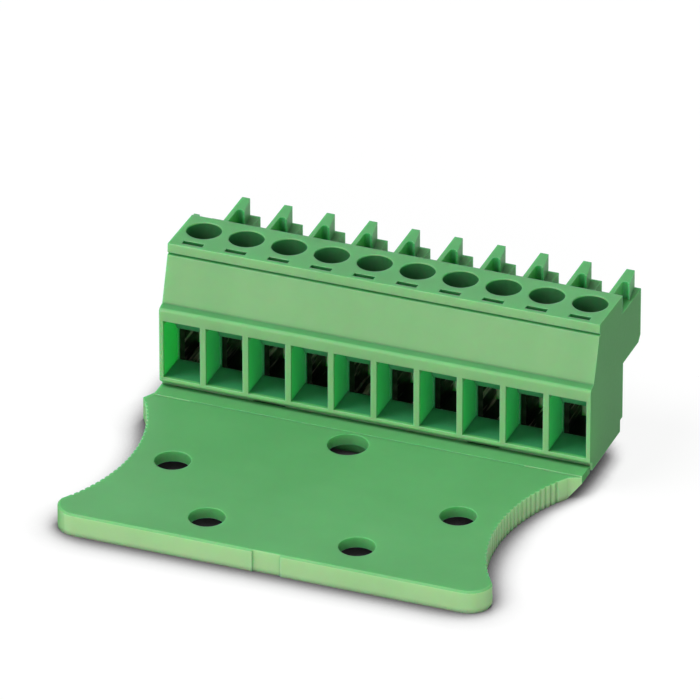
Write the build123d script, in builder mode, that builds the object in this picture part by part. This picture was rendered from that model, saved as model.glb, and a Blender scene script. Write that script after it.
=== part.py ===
"""Ten-way pluggable terminal block, 3.81 mm between poles, with its strain relief plate.

Wires enter at the front (-Y), header pins at the rear (+Y), screwdrivers from above (+Z).
The origin is on the underside, below the middle of the row, in line with the wire entry face.
"""
from build123d import *
from math import asin, degrees, floor
import os

# Row of poles
poles = 10
pitch = 3.81
rib = 0.5                      # wall seen between two wire windows
end_wall = 0.35                # outer wall beside the first and last window
row_length = poles * pitch
body_half = row_length / 2 + end_wall - rib / 2
pole_xs = [(n - (poles - 1) / 2) * pitch for n in range(poles)]
boundary_xs = [x + pitch / 2 for x in pole_xs]

# Strain relief plate: a thin web inside a deeper rim, hollow underneath
plate_t = 2.05
web_t = 1.0
rim_width = 1.1
plate_width = 38.1
plate_offset = -1.05           # the plate sits this far towards the low-numbered poles
plate_reach = 21.95            # wire entry face to the plate's front edge
plate_corner = 2.0
root_depth = 1.6               # straight strip beside the block
root_pad_depth = 1.3           # slightly raised part of that strip
root_pad_t = 0.1
recess_margin = 0.5            # the hollow reaches this far behind the middle hole
flare_in = 0.2                 # the flared end stops this far inside the block's end
flare_rise = 1.7               # how far its underside slopes up on the way there
flange_bevel = 0.5
waist_sagitta = 2.85           # depth of the hollow in each side
front_flat = 1.95              # straight part of each side, from the front edge to the hollow
serration_pitch = 0.6
serration_side = 0.22          # side of the square cut, set on its corner
serration_end = 1.0            # smooth stretch at each end of the hollow
tie_hole_d = 3.1
middle_hole_d = 3.5
middle_hole_inset = 1.6        # from the straight strip to the middle hole's centre
wide_row_inset = 3.58          # from the deepest point of each hollow to a hole's centre
front_row_inset = 3.6          # from the front edge to the row's centres
front_row_spacing = 13.2
gate_width = 2.5
gate_depth = 0.12
plate_edge_ease = 0.15

# Tongue under the block and the rails that hold it there
tongue_t = 1.7
tongue_reach = 6.6
tongue_gap = 0.03
rail_spacing = 5 * pitch
rail_foot = 2.2
rail_spread = 0.35             # how far each flank leans outwards
rail_height = 0.5
rail_length = 5.0
rail_start = 0.9
rail_xs = (-rail_spacing / 2, rail_spacing / 2)

# Block, side outline in Y and Z
sill_overhang = 0.6
sill_bevel = 0.3
sill_gap = 0.45                # shadow gap between plate and sill
sill_height = 0.6
block_height = 14.8
band_top = 9.6
band_round = 0.3               # upper edge of the band over the windows
ledge_depth = 0.75
ledge_rise = 0.2
lip_y = 2.02
lip_height = 0.8
groove_height = 0.26
groove_depth = 0.3
top_lean = 0.06
top_fall = 0.15                # the top is this much lower at its rear edge
top_rear = 7.6
back_y = 7.95
foot_y = 7.4
foot_top = 2.85

# Plug nose that enters the header
nose_end = 12.2
nose_bottom = 8.0
nose_top = 12.9
nose_chamfer = 0.5
comb_depth = 1.0

# Coding fins on the nose, one beside each pole
fin_left = 1.2                 # left side of a fin, before the boundary of its pole
fin_front_width = 1.1
fin_rear_width = 0.72
fin_web = 0.4
fin_front_y = 9.9
fin_top = 14.5
fin_hollow_r = 0.28            # hollow in the front of the tab, beside the web
fin_hollow_sides = 8
shelf_right = 0.45             # shelf beside a fin, beyond the boundary of its pole
corner_post = 0.5

# Clamp of each pole
screw_y = 5.3
screw_bore_d = 3.04
screw_d = 2.0
screw_head_d = 2.8
screw_head_h = 1.15
screw_slot = 0.4
screw_slot_depth = 0.55
ledge_clearance = 0.1
ledge_t = 0.5
seat_gap = 0.02
thread_clearance = 0.03
sleeve_lift = 2.6
sleeve_width = 3.0
sleeve_front_reach = 1.85      # screw axis to the front of the sleeve
sleeve_back_reach = 1.3
sleeve_side = 0.42
sleeve_floor = 0.45
sleeve_roof = 1.2
sleeve_corner = 0.3
slide_clearance = 0.1
bar_t = 0.5
bar_width = 2.0
bar_to_roof = 0.4
tip_gap = 0.05

# Wire entry and the test slot above it
window_top = 8.53
mouth_z = 6.15
funnel_flat = 1.6
lintel_t = 0.15
slot_y = 2.79
slot_length = 1.85
slot_width = 0.55
slot_depth = 1.6

# Contact: riser, base and two spring arms round a 1 mm pin
riser_t = 0.42
base_t = 0.4
pin_side = 1.0
pin_z = 10.2
arm_t = 0.28
arm_height = 2.0
arm_pinch = 0.06
arm_slope = 2.0                # where the arms start to close in, before their end
arm_nip = 0.7                  # where they grip, before their end
socket_side = 0.1
socket_roof = 0.25
mouth_side = 1.5
mouth_flare = 0.3
nose_wall = 0.5

# Heights and depths that follow
plate_top = plate_t
sill_bottom = plate_top + sill_gap
floor_z = sill_bottom + sill_height
window_width = pitch - rib
sleeve_front = screw_y - sleeve_front_reach
sleeve_back = screw_y + sleeve_back_reach
chamber_front = sleeve_front - slide_clearance
riser_front = sleeve_back + slide_clearance
riser_back = riser_front + riser_t
chamber_back = riser_back + tongue_gap
chamber_bottom = floor_z - sleeve_floor - seat_gap
bar_bottom = floor_z + sleeve_lift + bar_t
bar_top = bar_bottom + bar_t
sleeve_bottom = floor_z - sleeve_floor
sleeve_inner_top = bar_top + bar_to_roof
sleeve_top = sleeve_inner_top + sleeve_roof
chamber_top = sleeve_top + sleeve_lift + seat_gap
ledge_top = chamber_top + ledge_t
head_bottom = ledge_top + seat_gap
arm_bottom = pin_z - arm_height / 2
base_bottom = arm_bottom - base_t
arm_front = nose_end - nose_wall - slide_clearance
plate_left = plate_offset - plate_width / 2
plate_right = plate_offset + plate_width / 2
waist_half_chord = (plate_reach - root_depth - front_flat) / 2
waist_radius = (waist_half_chord**2 + waist_sagitta**2) / (2 * waist_sagitta)
waist_y = -root_depth - waist_half_chord
middle_hole_y = -root_depth - middle_hole_inset
recess_rear = middle_hole_y + middle_hole_d / 2 + recess_margin
recess_front = rim_width - plate_reach
wide_row_spacing = plate_width - 2 * waist_sagitta - 2 * wide_row_inset
front_row_y = front_row_inset - plate_reach
root_end = sill_overhang - tongue_gap
block_bottom = tongue_t + tongue_gap

os.makedirs("parts", exist_ok=True)


def finish(builder, name):
    """Label a finished piece and write it to its own file."""
    builder.part.label = name
    export_step(builder.part, f"parts/{name}.step")


def facing_front(x, y, z):
    """Sketch plane with its origin at a point, X to the right, Z up, seen from the wire side."""
    return Plane((x, y, z), x_dir=(1, 0, 0), z_dir=(0, -1, 0))


def dovetail(plane, clearance):
    """Section of a rail, or of the groove round it, widening upwards from the plane's origin."""
    height = rail_height + clearance
    half_foot = rail_foot / 2 + clearance
    half_head = half_foot + rail_spread * height / rail_height
    with BuildSketch(plane) as section:
        with BuildLine():
            Polyline(
                (-half_foot, 0),
                (-half_head, height),
                (half_head, height),
                (half_foot, 0),
                close=True,
            )
        make_face()
    return section.sketch


# Hollow of one pole, cut from the block at every pole
with BuildPart() as pole_hollow:
    # wire funnel, its ceiling coming down to the mouth of the sleeve
    with BuildSketch(Plane.YZ):
        with BuildLine():
            Polyline(
                (-1, floor_z),
                (-1, window_top),
                (funnel_flat, window_top),
                (chamber_front - lintel_t, mouth_z),
                (chamber_front, mouth_z),
                (chamber_front, floor_z),
                close=True,
            )
        make_face()
    extrude(amount=window_width / 2, both=True)
    # chamber that the sleeve climbs in, with the riser of the contact behind it
    chamber_width = sleeve_width + 2 * slide_clearance
    with BuildSketch(Plane.XY.offset(chamber_bottom)):
        with Locations((0, (chamber_front + chamber_back) / 2)):
            Rectangle(chamber_width, chamber_back - chamber_front)
    extrude(amount=chamber_top - chamber_bottom)
    # screw: a narrow hole through the ledge, then the bore for head and screwdriver
    with BuildSketch(Plane.XY.offset(chamber_top)):
        with Locations((0, screw_y)):
            Circle(screw_d / 2 + ledge_clearance)
    extrude(amount=ledge_t)
    with BuildSketch(Plane.XY.offset(ledge_top)):
        with Locations((0, screw_y)):
            Circle(screw_bore_d / 2)
    extrude(amount=block_height - ledge_top + 1)
    # narrow test slot in front of the screw
    with BuildSketch(Plane.XY.offset(block_height - slot_depth)):
        with Locations((0, slot_y)):
            Rectangle(slot_length, slot_width)
    extrude(amount=slot_depth + 1)
    # socket for the contact, open to the chamber
    with BuildSketch(Plane.XZ.offset(-chamber_back)):
        with Locations((0, (base_bottom + arm_bottom + arm_height + socket_roof) / 2)):
            Rectangle(bar_width + 2 * socket_side, arm_height + base_t + socket_roof)
    extrude(amount=chamber_back - (nose_end - nose_wall))
    # mouth for the header pin, flared towards the rear face
    with BuildSketch(Plane.XZ.offset(-nose_end + nose_wall)):
        with Locations((0, pin_z)):
            Rectangle(mouth_side, mouth_side)
    with BuildSketch(Plane.XZ.offset(-nose_end)):
        with Locations((0, pin_z)):
            Rectangle(mouth_side + mouth_flare, mouth_side + mouth_flare)
    loft()

# Block moulding with its plug nose
with BuildPart() as housing:
    with BuildSketch(Plane.YZ) as side_outline:
        with BuildLine():
            Polyline(
                (sill_overhang, block_bottom),
                (sill_overhang, sill_bottom),
                (sill_bevel, sill_bottom),
                (0, sill_bottom + sill_bevel),
                (0, band_top),
                (ledge_depth, band_top + ledge_rise),
                (lip_y, block_height - lip_height - groove_height),
                (lip_y + groove_depth, block_height - lip_height - groove_height / 2),
                (lip_y, block_height - lip_height),
                (lip_y + top_lean, block_height),
                (top_rear, block_height - top_fall),
                (top_rear, nose_top),
                (nose_end, nose_top),
                (nose_end, nose_bottom + nose_chamfer),
                (nose_end - nose_chamfer, nose_bottom),
                (back_y, nose_bottom),
                (back_y, foot_top),
                (foot_y, foot_top),
                (foot_y, block_bottom),
                close=True,
            )
        make_face()
        band_corner = side_outline.vertices().sort_by_distance((0, band_top))[0]
        fillet(band_corner, radius=band_round)
    extrude(amount=body_half, both=True)
    # comb in the nose: a gap from each shelf to the next fin
    for boundary_x in boundary_xs:
        gap_right = boundary_x - fin_left
        gap_left = gap_right - (pitch - fin_left - shelf_right)
        if boundary_x == boundary_xs[0]:
            gap_left = -body_half
        with BuildSketch(Plane.XY.offset(nose_top - comb_depth)):
            with Locations(((gap_left + gap_right) / 2, (top_rear + nose_end + 1) / 2)):
                Rectangle(gap_right - gap_left, nose_end + 1 - top_rear)
        extrude(amount=comb_depth, mode=Mode.SUBTRACT)
    # coding fins: a thin web from the block to a thicker tab at the nose's end
    for boundary_x in boundary_xs:
        with BuildSketch(Plane((boundary_x - fin_left, 0, nose_top))):
            with Locations((fin_web / 2, (top_rear + nose_end) / 2)):
                Rectangle(fin_web, nose_end - top_rear)
            with BuildLine():
                Polyline(
                    (0, fin_front_y),
                    (fin_front_width, fin_front_y),
                    (fin_rear_width, nose_end),
                    (0, nose_end),
                    close=True,
                )
            make_face()
            with Locations((fin_web + fin_hollow_r, fin_front_y)):
                RegularPolygon(fin_hollow_r, fin_hollow_sides, mode=Mode.SUBTRACT)
        extrude(amount=fin_top - nose_top)
    # small post at the corner of the top
    with BuildSketch(Plane.XY.offset(nose_top)):
        with Locations((-body_half + corner_post / 2, top_rear + corner_post / 2)):
            Rectangle(corner_post, corner_post)
    extrude(amount=fin_top - nose_top)
    # rail grooves in the underside, open at the front
    for rail_x in rail_xs:
        groove = dovetail(facing_front(rail_x, sill_overhang, tongue_t), tongue_gap)
        extrude(groove, amount=sill_overhang - rail_start - rail_length, mode=Mode.SUBTRACT)
    with Locations(*[(x, 0, 0) for x in pole_xs]):
        add(pole_hollow.part, mode=Mode.SUBTRACT)
finish(housing, "plug_housing")

# Strain relief plate with its tongue and rails
serration_step = degrees(serration_pitch / waist_radius)
serration_span = 2 * degrees(asin((waist_half_chord - serration_end) / waist_radius))
serration_count = floor(serration_span / serration_step) + 1
serration_start = -serration_step * (serration_count - 1) / 2
waist_x = plate_width / 2 - waist_sagitta + waist_radius
with BuildPart() as plate:
    with BuildSketch() as plate_outline:
        with Locations((plate_offset, (-plate_reach - root_depth) / 2)):
            Rectangle(plate_width, plate_reach - root_depth)
        front_corners = plate_outline.vertices().group_by(Axis.Y)[0]
        fillet(front_corners, radius=plate_corner)
        # hollowed sides with serrations along them
        for side, turn in ((-1, 0), (1, 180)):
            with Locations((plate_offset + side * waist_x, waist_y)):
                Circle(waist_radius, mode=Mode.SUBTRACT)
            with Locations(Location((plate_offset + side * waist_x, waist_y, 0), (0, 0, turn))):
                with PolarLocations(
                    waist_radius,
                    serration_count,
                    start_angle=serration_start,
                    angular_range=serration_step * (serration_count - 1),
                    endpoint=True,
                ):
                    Rectangle(serration_side, serration_side, rotation=45, mode=Mode.SUBTRACT)
        flange_corner = plate_outline.vertices().group_by(Axis.Y)[-1].sort_by(Axis.X)[0]
        chamfer(flange_corner, length=flange_bevel)
        # straight strip beside the block, flared to its right end
        with BuildLine():
            Polyline(
                (-body_half, root_end),
                (-body_half, -root_depth / 2),
                (plate_left + flange_bevel, -root_depth),
                (plate_right - flare_in, -root_depth - flare_in),
                (body_half - flare_in, -root_pad_depth),
                (body_half - flare_in, root_end),
                close=True,
            )
        make_face()
    extrude(amount=plate_t)
    # eased upper edge along the front
    front_edges = plate.faces().sort_by(Axis.Z)[-1].edges().group_by(Axis.Y)[0]
    chamfer(front_edges, length=plate_edge_ease)
    # hollow under the web, parallel to the outline
    with BuildSketch() as recess_outline:
        with Locations((plate_offset, (recess_front + recess_rear) / 2)):
            Rectangle(plate_width - 2 * rim_width, recess_rear - recess_front)
        recess_corners = recess_outline.vertices().group_by(Axis.Y)[0]
        fillet(recess_corners, radius=plate_corner - rim_width)
        with Locations((plate_offset, waist_y)):
            with GridLocations(2 * waist_x, 1, 2, 1):
                Circle(waist_radius + rim_width, mode=Mode.SUBTRACT)
    extrude(amount=plate_t - web_t, mode=Mode.SUBTRACT)
    # holes for cable ties
    with BuildSketch(Plane.XY.offset(plate_t)):
        with Locations((plate_offset, middle_hole_y)):
            Circle(middle_hole_d / 2)
        with Locations((plate_offset, waist_y)):
            with GridLocations(wide_row_spacing, 1, 2, 1):
                Circle(tie_hole_d / 2)
        with Locations((plate_offset, front_row_y)):
            with GridLocations(front_row_spacing, 1, 2, 1):
                Circle(tie_hole_d / 2)
    extrude(amount=-plate_t, mode=Mode.SUBTRACT)
    # recess of the moulding gate in the middle of the front edge
    with BuildSketch(facing_front(plate_offset, -plate_reach, plate_t / 2)):
        Rectangle(gate_width, plate_t)
    extrude(amount=-gate_depth, mode=Mode.SUBTRACT)
    # raised pad along the block
    with BuildSketch(Plane.XY.offset(plate_t)):
        with Locations((-flare_in / 2, (root_end - root_pad_depth) / 2)):
            Rectangle(2 * body_half - flare_in, root_end + root_pad_depth)
    extrude(amount=root_pad_t)
    # slope under the flared end
    with BuildSketch(facing_front(0, -plate_reach, 0)):
        with BuildLine():
            Polyline(
                (plate_right - flare_in, 0),
                (body_half, flare_rise),
                (body_half, 0),
                close=True,
            )
        make_face()
    extrude(amount=-plate_reach - root_end, mode=Mode.SUBTRACT)
    # tongue under the block
    with BuildSketch():
        with Locations(((plate_right - body_half) / 2, tongue_reach / 2)):
            Rectangle(plate_right + body_half, tongue_reach)
    extrude(amount=tongue_t)
    # dovetail rails
    for rail_x in rail_xs:
        extrude(dovetail(facing_front(rail_x, rail_start, tongue_t), 0), amount=-rail_length)
finish(plate, "strain_relief_plate")

# Clamp screws
for number, pole_x in enumerate(pole_xs, start=1):
    with BuildPart() as screw:
        with BuildSketch(facing_front(pole_x, screw_y, 0)):
            with BuildLine():
                Polyline(
                    (0, bar_top + tip_gap),
                    (screw_d / 2, bar_top + tip_gap),
                    (screw_d / 2, head_bottom),
                    (screw_head_d / 2, head_bottom),
                    (screw_head_d / 2, head_bottom + screw_head_h),
                    (0, head_bottom + screw_head_h),
                    close=True,
                )
            make_face()
        revolve(axis=Axis((pole_x, screw_y, 0), (0, 0, 1)))
        with BuildSketch(Plane.XY.offset(head_bottom + screw_head_h)):
            with Locations((pole_x, screw_y)):
                Rectangle(screw_head_d + 1, screw_slot)
        extrude(amount=-screw_slot_depth, mode=Mode.SUBTRACT)
    finish(screw, f"clamp_screw_{number:02d}")

# Tension sleeves that the screws draw up
for number, pole_x in enumerate(pole_xs, start=1):
    with BuildPart() as sleeve:
        with BuildSketch(Plane.XZ.offset(-sleeve_front)) as sleeve_section:
            with Locations((pole_x, (sleeve_bottom + sleeve_top) / 2)):
                Rectangle(sleeve_width, sleeve_top - sleeve_bottom)
            chamfer(sleeve_section.vertices(), length=sleeve_corner)
            with Locations((pole_x, (floor_z + sleeve_inner_top) / 2)):
                Rectangle(
                    sleeve_width - 2 * sleeve_side,
                    sleeve_inner_top - floor_z,
                    mode=Mode.SUBTRACT,
                )
        extrude(amount=sleeve_front - sleeve_back)
        with BuildSketch(Plane.XY.offset(sleeve_top)):
            with Locations((pole_x, screw_y)):
                Circle(screw_d / 2 + thread_clearance)
        extrude(amount=-sleeve_roof, mode=Mode.SUBTRACT)
    finish(sleeve, f"clamp_sleeve_{number:02d}")

# Contacts: current bar under the screw, riser, base and spring arms for the pin
arm_outer = bar_width / 2
arm_waist = pin_side / 2 - arm_pinch
for number, pole_x in enumerate(pole_xs, start=1):
    with BuildPart() as contact:
        with BuildSketch(Plane.YZ.offset(pole_x)):
            with BuildLine():
                Polyline(
                    (sleeve_front, bar_bottom),
                    (riser_back, bar_bottom),
                    (riser_back, base_bottom),
                    (arm_front, base_bottom),
                    (arm_front, arm_bottom),
                    (riser_front, arm_bottom),
                    (riser_front, bar_top),
                    (sleeve_front, bar_top),
                    close=True,
                )
            make_face()
        extrude(amount=bar_width / 2, both=True)
        with BuildSketch(Plane((pole_x, 0, arm_bottom))):
            with BuildLine():
                Polyline(
                    (arm_outer, back_y),
                    (arm_outer, arm_front - arm_slope),
                    (arm_waist + arm_t, arm_front - arm_nip),
                    (arm_outer, arm_front),
                    (arm_outer - arm_t, arm_front),
                    (arm_waist, arm_front - arm_nip),
                    (arm_outer - arm_t, arm_front - arm_slope),
                    (arm_outer - arm_t, back_y),
                    close=True,
                )
            make_face()
            mirror(about=Plane.YZ)
        extrude(amount=arm_height)
    finish(contact, f"contact_{number:02d}")
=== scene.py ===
"""Looks of the ten-way terminal plug with its strain relief plate, and the studio round it."""
from math import cos, pi, radians, sin

import bpy
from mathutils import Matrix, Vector

MM = 0.001

# Greens of the mouldings
GREEN = (0.108, 0.405, 0.134, 1)
# painted sheen: paler greens for the outer faces that face the light
BLOCK_SHEEN = (0.275, 0.490, 0.235, 1)
PLATE_SHEEN = (0.400, 0.620, 0.310, 1)
# painted shade on the ends of the block
BLOCK_END_SHADE = (0.045, 0.280, 0.055, 1)
# painted glow on the funnel walls and painted shade on the funnel floors
FUNNEL_WALL_GLOW = (0.055, 0.680, 0.180, 1)
FUNNEL_FLOOR_SHADE = (0.030, 0.265, 0.105, 1)
# painted glow through the coding fins
FIN_GLOW_GREEN = (0.025, 0.385, 0.115, 1)
# painted highlight on open edges
EDGE_HIGHLIGHT_GREEN = (0.28, 0.62, 0.28, 1)
# painted shade in bores, slots, corners and on the ledge
SHADE_GREEN = (0.003, 0.140, 0.034, 1)

# How far the moulding's painted light and shade shift its tone
FUNNEL_GLOW = 0.85
FIN_GLOW, FIN_FRONT_GLOW = 0.2, 0.55
LEDGE_SHADE = 0.3
EDGE_GAIN = 3.5
EDGE_HIGHLIGHT_STRENGTH = 0.45
STEP_HIGHLIGHT_CUT = 0.75
BORE_SHADE = 0.85
CORNER_SHADE = 0.85

# Metals
ZINC = (0.62, 0.61, 0.58, 1)
# painted shade: the sleeve's nickel is painted near-black, as it lies in shade inside the windows
NICKEL_IN_PAINTED_SHADE = (0.018, 0.026, 0.016, 1)
TIN = (0.50, 0.48, 0.44, 1)
# painted glint on drawn streaks
STEEL_GLINT = (0.70, 0.66, 0.57, 1)

# Places on the plug, and how far fine effects reach
PITCH = 3.81 * MM
BLOCK_END = 18.9 * MM
BLOCK_MIDDLE = 9.0 * MM
FUNNEL_DEPTH = (0.3 * MM, 3.6 * MM)
FUNNEL_HEIGHT = (2.6 * MM, 8 * MM)
LEDGE_DEPTH = (0.2 * MM, 0.9 * MM)
LEDGE_HEIGHT = (9.5 * MM, 9.9 * MM)
FIN_FADE = (8.8 * MM, 9.9 * MM)
NOSE_TOP = 12.95 * MM
SCREW_Y = 5.3 * MM
BORE_WALL = 1.56 * MM
BORE_RIM = 14.55 * MM
SLOT_Y = 2.79 * MM
SLOT_HALF_WIDTH = 0.30 * MM
SLOT_HALF_LENGTH = 0.95 * MM
SLOT_RIM = 14.74 * MM
STEP_DEPTH = (-2 * MM, 0)
STEP_TOP = 2.3 * MM
PLATE_MIDDLE = -1.05 * MM
HOLES_REACH = 14.9 * MM
FRONT_STRIP = -20 * MM
EDGE_RADIUS = 0.12 * MM
METAL_EDGE_RADIUS = 0.05 * MM
CORNER_REACH = 0.5 * MM
SCREW_LEAD = 0.4 * MM
SHANK_TOP = 11.3 * MM
THREAD_SLANT = 0.32 * MM
DRAWN_ACROSS, DRAWN_UP = 4200, 5100

# Painted shadow on the floor: its grey from well under the plug to clear of it
FLOOR_SHADOW_TONES = [
    (0.20, (0.005, 0.005, 0.005, 1)),
    (0.46, (0.085, 0.083, 0.085, 1)),
    (0.65, (0.29, 0.285, 0.29, 1)),
    (0.80, (0.70, 0.695, 0.70, 1)),
    (0.94, (1.0, 1.0, 1.0, 1)),
]
FLOOR_HALF = 3.0
FLOOR_GLOW = 1.02
LAMPLIT_SHARE = 0.12
SHADOW_REACH = 3.2 * MM
END_OF_ROW = (15 * MM, 20 * MM)
ROW_SIDE = (-10.2 * MM, -4.2 * MM)
ROW_SIDE_LIFT = 0.19
PAPER = (0.75, 0.75, 0.75, 1)


# Shader maths


class Link:
    """An output socket that can be added, multiplied and compared like a number."""

    def __init__(self, shade, socket):
        self.shade, self.socket = shade, socket

    def math(self, operation, *values):
        settings = {"operation": operation}
        return self.shade.node("ShaderNodeMath", settings, dict(enumerate(values)))

    def __add__(self, other):
        return self.math("ADD", self, other)

    def __radd__(self, other):
        return self.math("ADD", other, self)

    def __sub__(self, other):
        return self.math("SUBTRACT", self, other)

    def __rsub__(self, other):
        return self.math("SUBTRACT", other, self)

    def __mul__(self, other):
        return self.math("MULTIPLY", self, other)

    def __rmul__(self, other):
        return self.math("MULTIPLY", other, self)

    def __truediv__(self, other):
        return self.math("DIVIDE", self, other)

    def __pow__(self, other):
        return self.math("POWER", self, other)

    def __lt__(self, other):
        return self.math("LESS_THAN", self, other)

    def __gt__(self, other):
        return self.math("GREATER_THAN", self, other)

    def wrap(self, high, low):
        return self.math("WRAP", self, high, low)

    def at_least(self, other):
        return self.math("MAXIMUM", self, other)

    def at_most(self, other):
        return self.math("MINIMUM", self, other)

    def sine(self):
        return self.math("SINE", self)

    def within(self, low, high):
        """1 between the two values and 0 outside them."""
        return (self > low) * (self < high)

    def rise(self, start, end):
        """0 up to start, 1 from end on, and a straight ramp between them."""
        return ((self - start) / (end - start)).at_least(0).at_most(1)


class Shade:
    """The node tree of a material or the world, with one method that makes any node."""

    def __init__(self, holder, output="ShaderNodeOutputMaterial"):
        holder.use_nodes = True
        self.holder, self.tree = holder, holder.node_tree
        self.tree.nodes.clear()
        self.output = self.tree.nodes.new(output)

    def node(self, kind, settings=None, values=None, out=0):
        node = self.tree.nodes.new(kind)
        for key, value in (settings or {}).items():
            if key == "stops":
                ramp = node.color_ramp
                while len(ramp.elements) < len(value):
                    ramp.elements.new(0.5)
                for element, (position, colour) in zip(ramp.elements, value):
                    element.position, element.color = position, colour
            else:
                setattr(node, key, value)
        for key, value in (values or {}).items():
            if isinstance(value, Link):
                self.tree.links.new(value.socket, node.inputs[key])
            else:
                node.inputs[key].default_value = value
        return Link(self, node.outputs[out])

    def mix(self, mask, a, b):
        """Colour a where the mask is 0 and b where it is 1."""
        return self.node("ShaderNodeMix", {"data_type": "RGBA"}, {0: mask, 6: a, 7: b}, out=2)

    def parts(self, vector):
        """The vector's x, y and z."""
        return [
            self.node("ShaderNodeSeparateXYZ", {}, {0: vector}, out=axis) for axis in range(3)
        ]

    def coordinates(self):
        """Position in the object's own frame, in metres."""
        return self.node("ShaderNodeTexCoord", out=3)

    def normal(self):
        """The surface's direction in the object's own frame."""
        return self.node("ShaderNodeTexCoord", out=1)

    def openness(self, samples, reach):
        """1 on open faces, less where something stands closer than the reach."""
        return self.node(
            "ShaderNodeAmbientOcclusion", {"samples": samples}, {"Distance": reach}, out=1
        )

    def noise(self, coordinates, scale, detail, roughness, stretch=(1, 1, 1)):
        stretched = self.node(
            "ShaderNodeMapping", {}, {"Vector": coordinates, "Scale": stretch}
        )
        return self.node(
            "ShaderNodeTexNoise",
            {},
            {"Vector": stretched, "Scale": scale, "Detail": detail, "Roughness": roughness},
        )

    def seen(self):
        """1 for what the camera, a reflection or a clear part shows, 0 for light on the object."""
        camera, glossy, through = (
            self.node("ShaderNodeLightPath", out=out) for out in (0, 3, 6)
        )
        return camera.at_least(glossy).at_least(through)

    def finish(self, shader):
        self.tree.links.new(shader.socket, self.output.inputs["Surface"])
        return self.holder

    def surface(self, values):
        return self.finish(self.node("ShaderNodeBsdfPrincipled", {}, values))


def shifted(colour, factor, lift=0):
    """The colour made deeper or lighter."""
    return tuple(min(1, factor * channel + lift) for channel in colour[:3]) + (1,)


# Where the moulding's painted light and shade lie


def across(x):
    """Distance along the row from the middle of the pole."""
    return (x + PITCH / 2).wrap(PITCH / 2, -PITCH / 2)


def block_front(place, normal):
    """Faces of the block that look towards the wires."""
    return (0 - normal[1]).at_least(0) ** 2


def plate_rim(place, normal):
    """Upright faces round the plate, in front of the block and outside the holes."""
    x, y, _ = place
    up = normal[2]
    outside = ((x - PLATE_MIDDLE) * (x - PLATE_MIDDLE) > HOLES_REACH**2).at_least(y < FRONT_STRIP)
    return (1 - up * up) ** 2 * outside * (y < 0)


def wire_funnels(place):
    """Inner faces of the wire funnels."""
    x, y, z = place
    return y.within(*FUNNEL_DEPTH) * z.within(*FUNNEL_HEIGHT) * (x * x < BLOCK_END**2)


def coding_fins(place, normal):
    """The fins above the nose, mostly their fronts."""
    _, y, z = place
    front = (0 - normal[1]).at_least(0)
    return y.rise(*FIN_FADE) * (z > NOSE_TOP) * (FIN_GLOW + front * FIN_FRONT_GLOW)


def window_ledge(place):
    """The narrow ledge above the windows."""
    _, y, z = place
    return z.within(*LEDGE_HEIGHT) * y.within(*LEDGE_DEPTH)


def plate_step(place):
    """The low step of the plate, right in front of the block."""
    _, y, z = place
    return y.within(*STEP_DEPTH) * (z < STEP_TOP)


def bores_and_slots(place):
    """Walls of the screw bores and test slots, below their rims."""
    x, y, z = place
    off_axis = across(x)
    bored = (off_axis**2 + (y - SCREW_Y) ** 2 < BORE_WALL**2) * (z < BORE_RIM)
    slotted = (
        (off_axis**2 < SLOT_HALF_LENGTH**2)
        * ((y - SLOT_Y) ** 2 < SLOT_HALF_WIDTH**2)
        * (z < SLOT_RIM)
    )
    return bored.at_least(slotted) * (z > BLOCK_MIDDLE)


# Finishes


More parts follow.
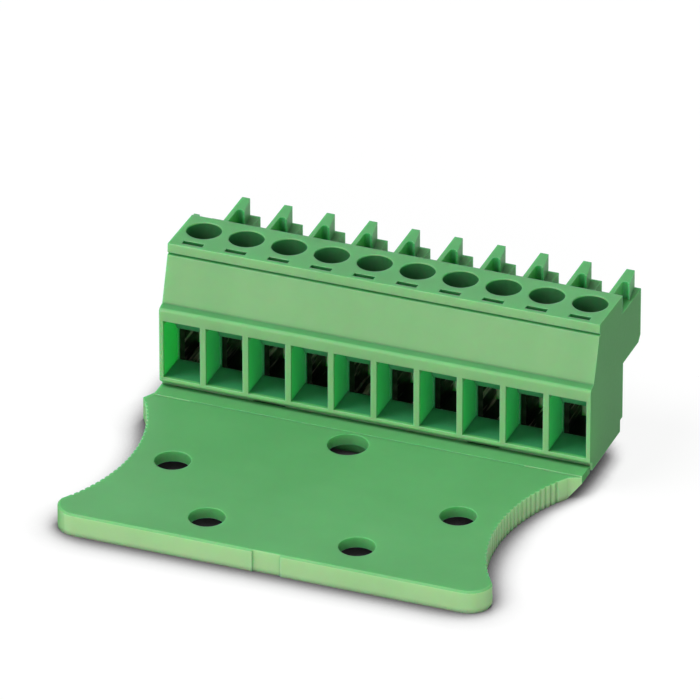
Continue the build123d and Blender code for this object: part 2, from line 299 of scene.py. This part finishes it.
def moulded_polyamide(name, sheen_colour, matt_and_sheen_where, flow):
    """Green moulded plastic: satin grain, flow streaks, matt outer faces; painted sheen, glow,
    highlights and shade.
    """
    shade = Shade(bpy.data.materials.new(name))
    coordinates = shade.coordinates()
    place = shade.parts(coordinates)
    normal = shade.parts(shade.normal())
    sideways = normal[0] * normal[0]
    openness = shade.openness(4, CORNER_REACH)
    cloud = shade.noise(coordinates, scale=160, detail=3, roughness=0.55)
    streaks = shade.noise(coordinates, scale=220, detail=2, roughness=0.5, stretch=flow)
    grain = shade.noise(coordinates, scale=9000, detail=2, roughness=0.6)
    pits = shade.noise(coordinates, scale=2600, detail=3, roughness=0.6)
    tone = shade.mix(
        cloud * 0.6 + streaks * 0.4, shifted(GREEN, 0.82), shifted(GREEN, 1.12, lift=0.018)
    )
    # painted sheen: outer faces are painted paler, more where they are open, and are rougher as a
    # matt skin
    matt_skin_and_sheen = matt_and_sheen_where(place, normal) * openness
    tone = shade.mix(matt_skin_and_sheen * (0.55 + cloud * 0.25 + streaks * 0.3), tone, sheen_colour)
    # painted shade: the ends of the block are painted deeper in colour
    tone = shade.mix(sideways * (place[0] * place[0] > BLOCK_END**2), tone, BLOCK_END_SHADE)
    # painted glow, for light that comes through the thin walls of the wire funnels and through the
    # coding fins; the funnel floors are painted in shade
    glow = shade.mix(sideways, FUNNEL_FLOOR_SHADE, FUNNEL_WALL_GLOW)
    tone = shade.mix(wire_funnels(place) * FUNNEL_GLOW, tone, glow)
    # painted glow on the coding fins, most on their fronts
    tone = shade.mix(coding_fins(place, normal), tone, FIN_GLOW_GREEN)
    # painted shade: the ledge above the windows is painted a little darker
    tone = shade.mix(window_ledge(place) * LEDGE_SHADE, tone, SHADE_GREEN)
    # painted highlight: open edges are painted paler, the plate's step the least
    rounded = shade.node("ShaderNodeBevel", {"samples": 6}, {"Radius": EDGE_RADIUS})
    unrounded = shade.node("ShaderNodeNewGeometry", out=1)
    alike = shade.node(
        "ShaderNodeVectorMath", {"operation": "DOT_PRODUCT"}, {0: rounded, 1: unrounded}, out=1
    )
    turned = ((1 - alike) * EDGE_GAIN).at_most(1)
    edge_highlight = turned * openness**3 * (1 - plate_step(place) * STEP_HIGHLIGHT_CUT)
    tone = shade.mix(edge_highlight * EDGE_HIGHLIGHT_STRENGTH, tone, EDGE_HIGHLIGHT_GREEN)
    # painted shade in the bores and test slots, and in corners
    tone = shade.mix(bores_and_slots(place) * BORE_SHADE, tone, SHADE_GREEN)
    tone = shade.mix((1 - openness) ** 1.5 * CORNER_SHADE, tone, SHADE_GREEN)
    relief = shade.node(
        "ShaderNodeBump",
        {},
        {
            "Height": grain * 0.35 + pits * 0.65 + cloud * 1.5,
            "Strength": 0.22,
            "Distance": 0.02 * MM,
            "Normal": rounded,
        },
    )
    return shade.surface(
        {
            "Base Color": tone,
            "Roughness": 0.44 + pits * 0.08 + streaks * 0.05 + matt_skin_and_sheen * 0.10,
            "Normal": relief,
            "Specular IOR Level": 0.25,
            "Subsurface Weight": 0.85,
            "Subsurface Radius": (0.15, 1.0, 0.4),
            "Subsurface Scale": 1.6 * MM,
        }
    )


def plated_metal(name, colour, roughness, ridges=None):
    """Plated steel or copper alloy: fine grain, drawn streaks painted bright as glints, and ridges
    if it has any.
    """
    shade = Shade(bpy.data.materials.new(name))
    coordinates = shade.coordinates()
    brushed = shade.noise(coordinates, scale=1400, detail=4, roughness=0.6, stretch=(1, 1, 0.15))
    mottle = shade.noise(coordinates, scale=500, detail=3, roughness=0.6)
    drawn = shade.noise(coordinates, scale=1500, detail=2, roughness=0.5, stretch=(1, 0.12, 1))
    tone = shade.mix(mottle, shifted(colour, 0.72), colour)
    # painted glints on the drawn streaks, except on faces that look along the wire
    facing = shade.parts(shade.normal())[1]
    painted_glint = drawn.rise(0.58, 0.691) * (1 - facing * facing)
    tone = shade.mix(painted_glint, tone, STEEL_GLINT)
    height = brushed * 0.06
    if ridges:
        height = ridges(shade.parts(coordinates)) + height
    relief = shade.node(
        "ShaderNodeBump",
        {},
        {
            "Height": height,
            "Strength": 0.8,
            "Distance": 0.08 * MM,
            "Normal": shade.node("ShaderNodeBevel", {"samples": 4}, {"Radius": METAL_EDGE_RADIUS}),
        },
    )
    return shade.surface(
        {
            "Base Color": tone,
            "Metallic": 1.0,
            "Roughness": roughness + brushed * 0.15,
            "Normal": relief,
        }
    )


def screw_thread(place):
    """Slanting ridges on the shanks, one for each lead of height, below the heads."""
    x, _, z = place
    turn = z * (2 * pi / SCREW_LEAD) + across(x) / THREAD_SLANT
    return turn.sine() * 0.5 * (z < SHANK_TOP)


def drawn_lines(place):
    """Drawing lines that run back along the clamp, the way that the wire goes in."""
    x, _, z = place
    return (x * DRAWN_ACROSS).sine() * 0.3 + (z * DRAWN_UP).sine() * 0.3


# Studio


def floor_sheet():
    """Wide white floor with a soft shadow close to the plug, painted from how open the floor is, and
    partly cast by the lamps.
    """
    half = FLOOR_HALF
    corners = [(-half, -half, 0), (half, -half, 0), (half, half, 0), (-half, half, 0)]
    mesh = bpy.data.meshes.new("studio_floor")
    mesh.from_pydata(corners, [], [(0, 1, 2, 3)])
    floor = bpy.data.objects.new("studio_floor", mesh)
    bpy.context.collection.objects.link(floor)
    shade = Shade(bpy.data.materials.new("studio_white"))
    # the painted shadow is kept narrower beside the tall end of the block
    x, y, _ = shade.parts(shade.coordinates())
    beside = x.rise(*END_OF_ROW) * y.rise(*ROW_SIDE)
    clearance = shade.openness(12, SHADOW_REACH) + beside * ROW_SIDE_LIFT
    tone = shade.node("ShaderNodeValToRGB", {"stops": FLOOR_SHADOW_TONES}, {"Fac": clearance})
    glow = shade.node("ShaderNodeEmission", {}, {"Color": tone, "Strength": FLOOR_GLOW})
    lit = shade.node("ShaderNodeBsdfDiffuse", {}, {"Color": tone})
    shown = shade.node("ShaderNodeMixShader", {}, {0: LAMPLIT_SHARE, 1: glow, 2: lit})
    paper = shade.node("ShaderNodeBsdfDiffuse", {}, {"Color": PAPER})
    mesh.materials.append(
        shade.finish(shade.node("ShaderNodeMixShader", {}, {0: shade.seen(), 1: paper, 2: shown}))
    )


def white_world(ambient):
    """White to the camera and in reflections, softer as light."""
    world = bpy.data.worlds.new("studio_world")
    bpy.context.scene.world = world
    shade = Shade(world, "ShaderNodeOutputWorld")
    lit, white = (
        shade.node("ShaderNodeBackground", {}, {"Color": (1, 1, 1, 1), "Strength": strength})
        for strength in (ambient, 1.0)
    )
    shade.finish(shade.node("ShaderNodeMixShader", {}, {0: shade.seen(), 1: lit, 2: white}))


def direction(azimuth, elevation):
    """Unit vector to a place in the studio; azimuth 0 is the wire side, positive to the right."""
    a, e = radians(azimuth), radians(elevation)
    return Vector((sin(a) * cos(e), -cos(a) * cos(e), sin(e)))


def soft_sun(name, azimuth, elevation, strength, width):
    lamp = bpy.data.lights.new(name, "SUN")
    lamp.energy = strength
    lamp.angle = radians(width)
    sun = bpy.data.objects.new(name, lamp)
    sun.rotation_euler = direction(azimuth, elevation).to_track_quat("Z", "Y").to_euler()
    bpy.context.collection.objects.link(sun)


def photo_camera(azimuth, elevation, distance, focal_length):
    """Long lens from the right and above, as the photograph was taken."""
    back = direction(azimuth, elevation)
    right = Vector((cos(radians(azimuth)), sin(radians(azimuth)), 0))
    up = back.cross(right)
    # the plug lies low in the frame
    aim = Vector((-0.55, -4.0, 5.0)) * MM + up * (5.754 * MM)
    lens = bpy.data.cameras.new("photo_camera")
    lens.sensor_width = 36
    lens.lens = focal_length
    lens.clip_start, lens.clip_end = 0.01, 20
    camera = bpy.data.objects.new("photo_camera", lens)
    camera.location = aim + back * distance
    camera.rotation_euler = back.to_track_quat("Z", "Y").to_euler()
    bpy.context.collection.objects.link(camera)
    bpy.context.scene.camera = camera


# The plug in its studio

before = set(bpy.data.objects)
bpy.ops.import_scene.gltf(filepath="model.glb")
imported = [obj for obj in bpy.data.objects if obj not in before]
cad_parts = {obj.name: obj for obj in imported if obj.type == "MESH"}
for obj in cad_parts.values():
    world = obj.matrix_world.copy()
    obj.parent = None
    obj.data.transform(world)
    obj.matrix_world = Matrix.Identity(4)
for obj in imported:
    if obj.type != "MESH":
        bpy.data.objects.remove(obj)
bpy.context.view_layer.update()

finishes = {
    "plug_housing": moulded_polyamide(
        "block_polyamide", BLOCK_SHEEN, block_front, flow=(1, 0.2, 0.2)
    ),
    "strain_relief_plate": moulded_polyamide(
        "plate_polyamide", PLATE_SHEEN, plate_rim, flow=(0.25, 1, 1)
    ),
    "clamp_screw": plated_metal("screw_zinc", ZINC, roughness=0.28, ridges=screw_thread),
    # the sleeve is painted near-black as shade
    "clamp_sleeve": plated_metal(
        "sleeve_nickel", NICKEL_IN_PAINTED_SHADE, roughness=0.36, ridges=drawn_lines
    ),
    "contact": plated_metal("contact_tin", TIN, roughness=0.32),
}
for name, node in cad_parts.items():
    finish = next(finishes[kind] for kind in finishes if name.startswith(kind))
    for slot in node.material_slots:
        slot.material = finish

floor_sheet()
white_world(ambient=0.24)
soft_sun("high_key", azimuth=-60, elevation=60, strength=2.15, width=30)
soft_sun("low_front", azimuth=18, elevation=12, strength=1.5, width=34)
photo_camera(azimuth=20.95, elevation=29.92, distance=1.0, focal_length=620.9)
bpy.context.scene.view_settings.view_transform = "Standard"
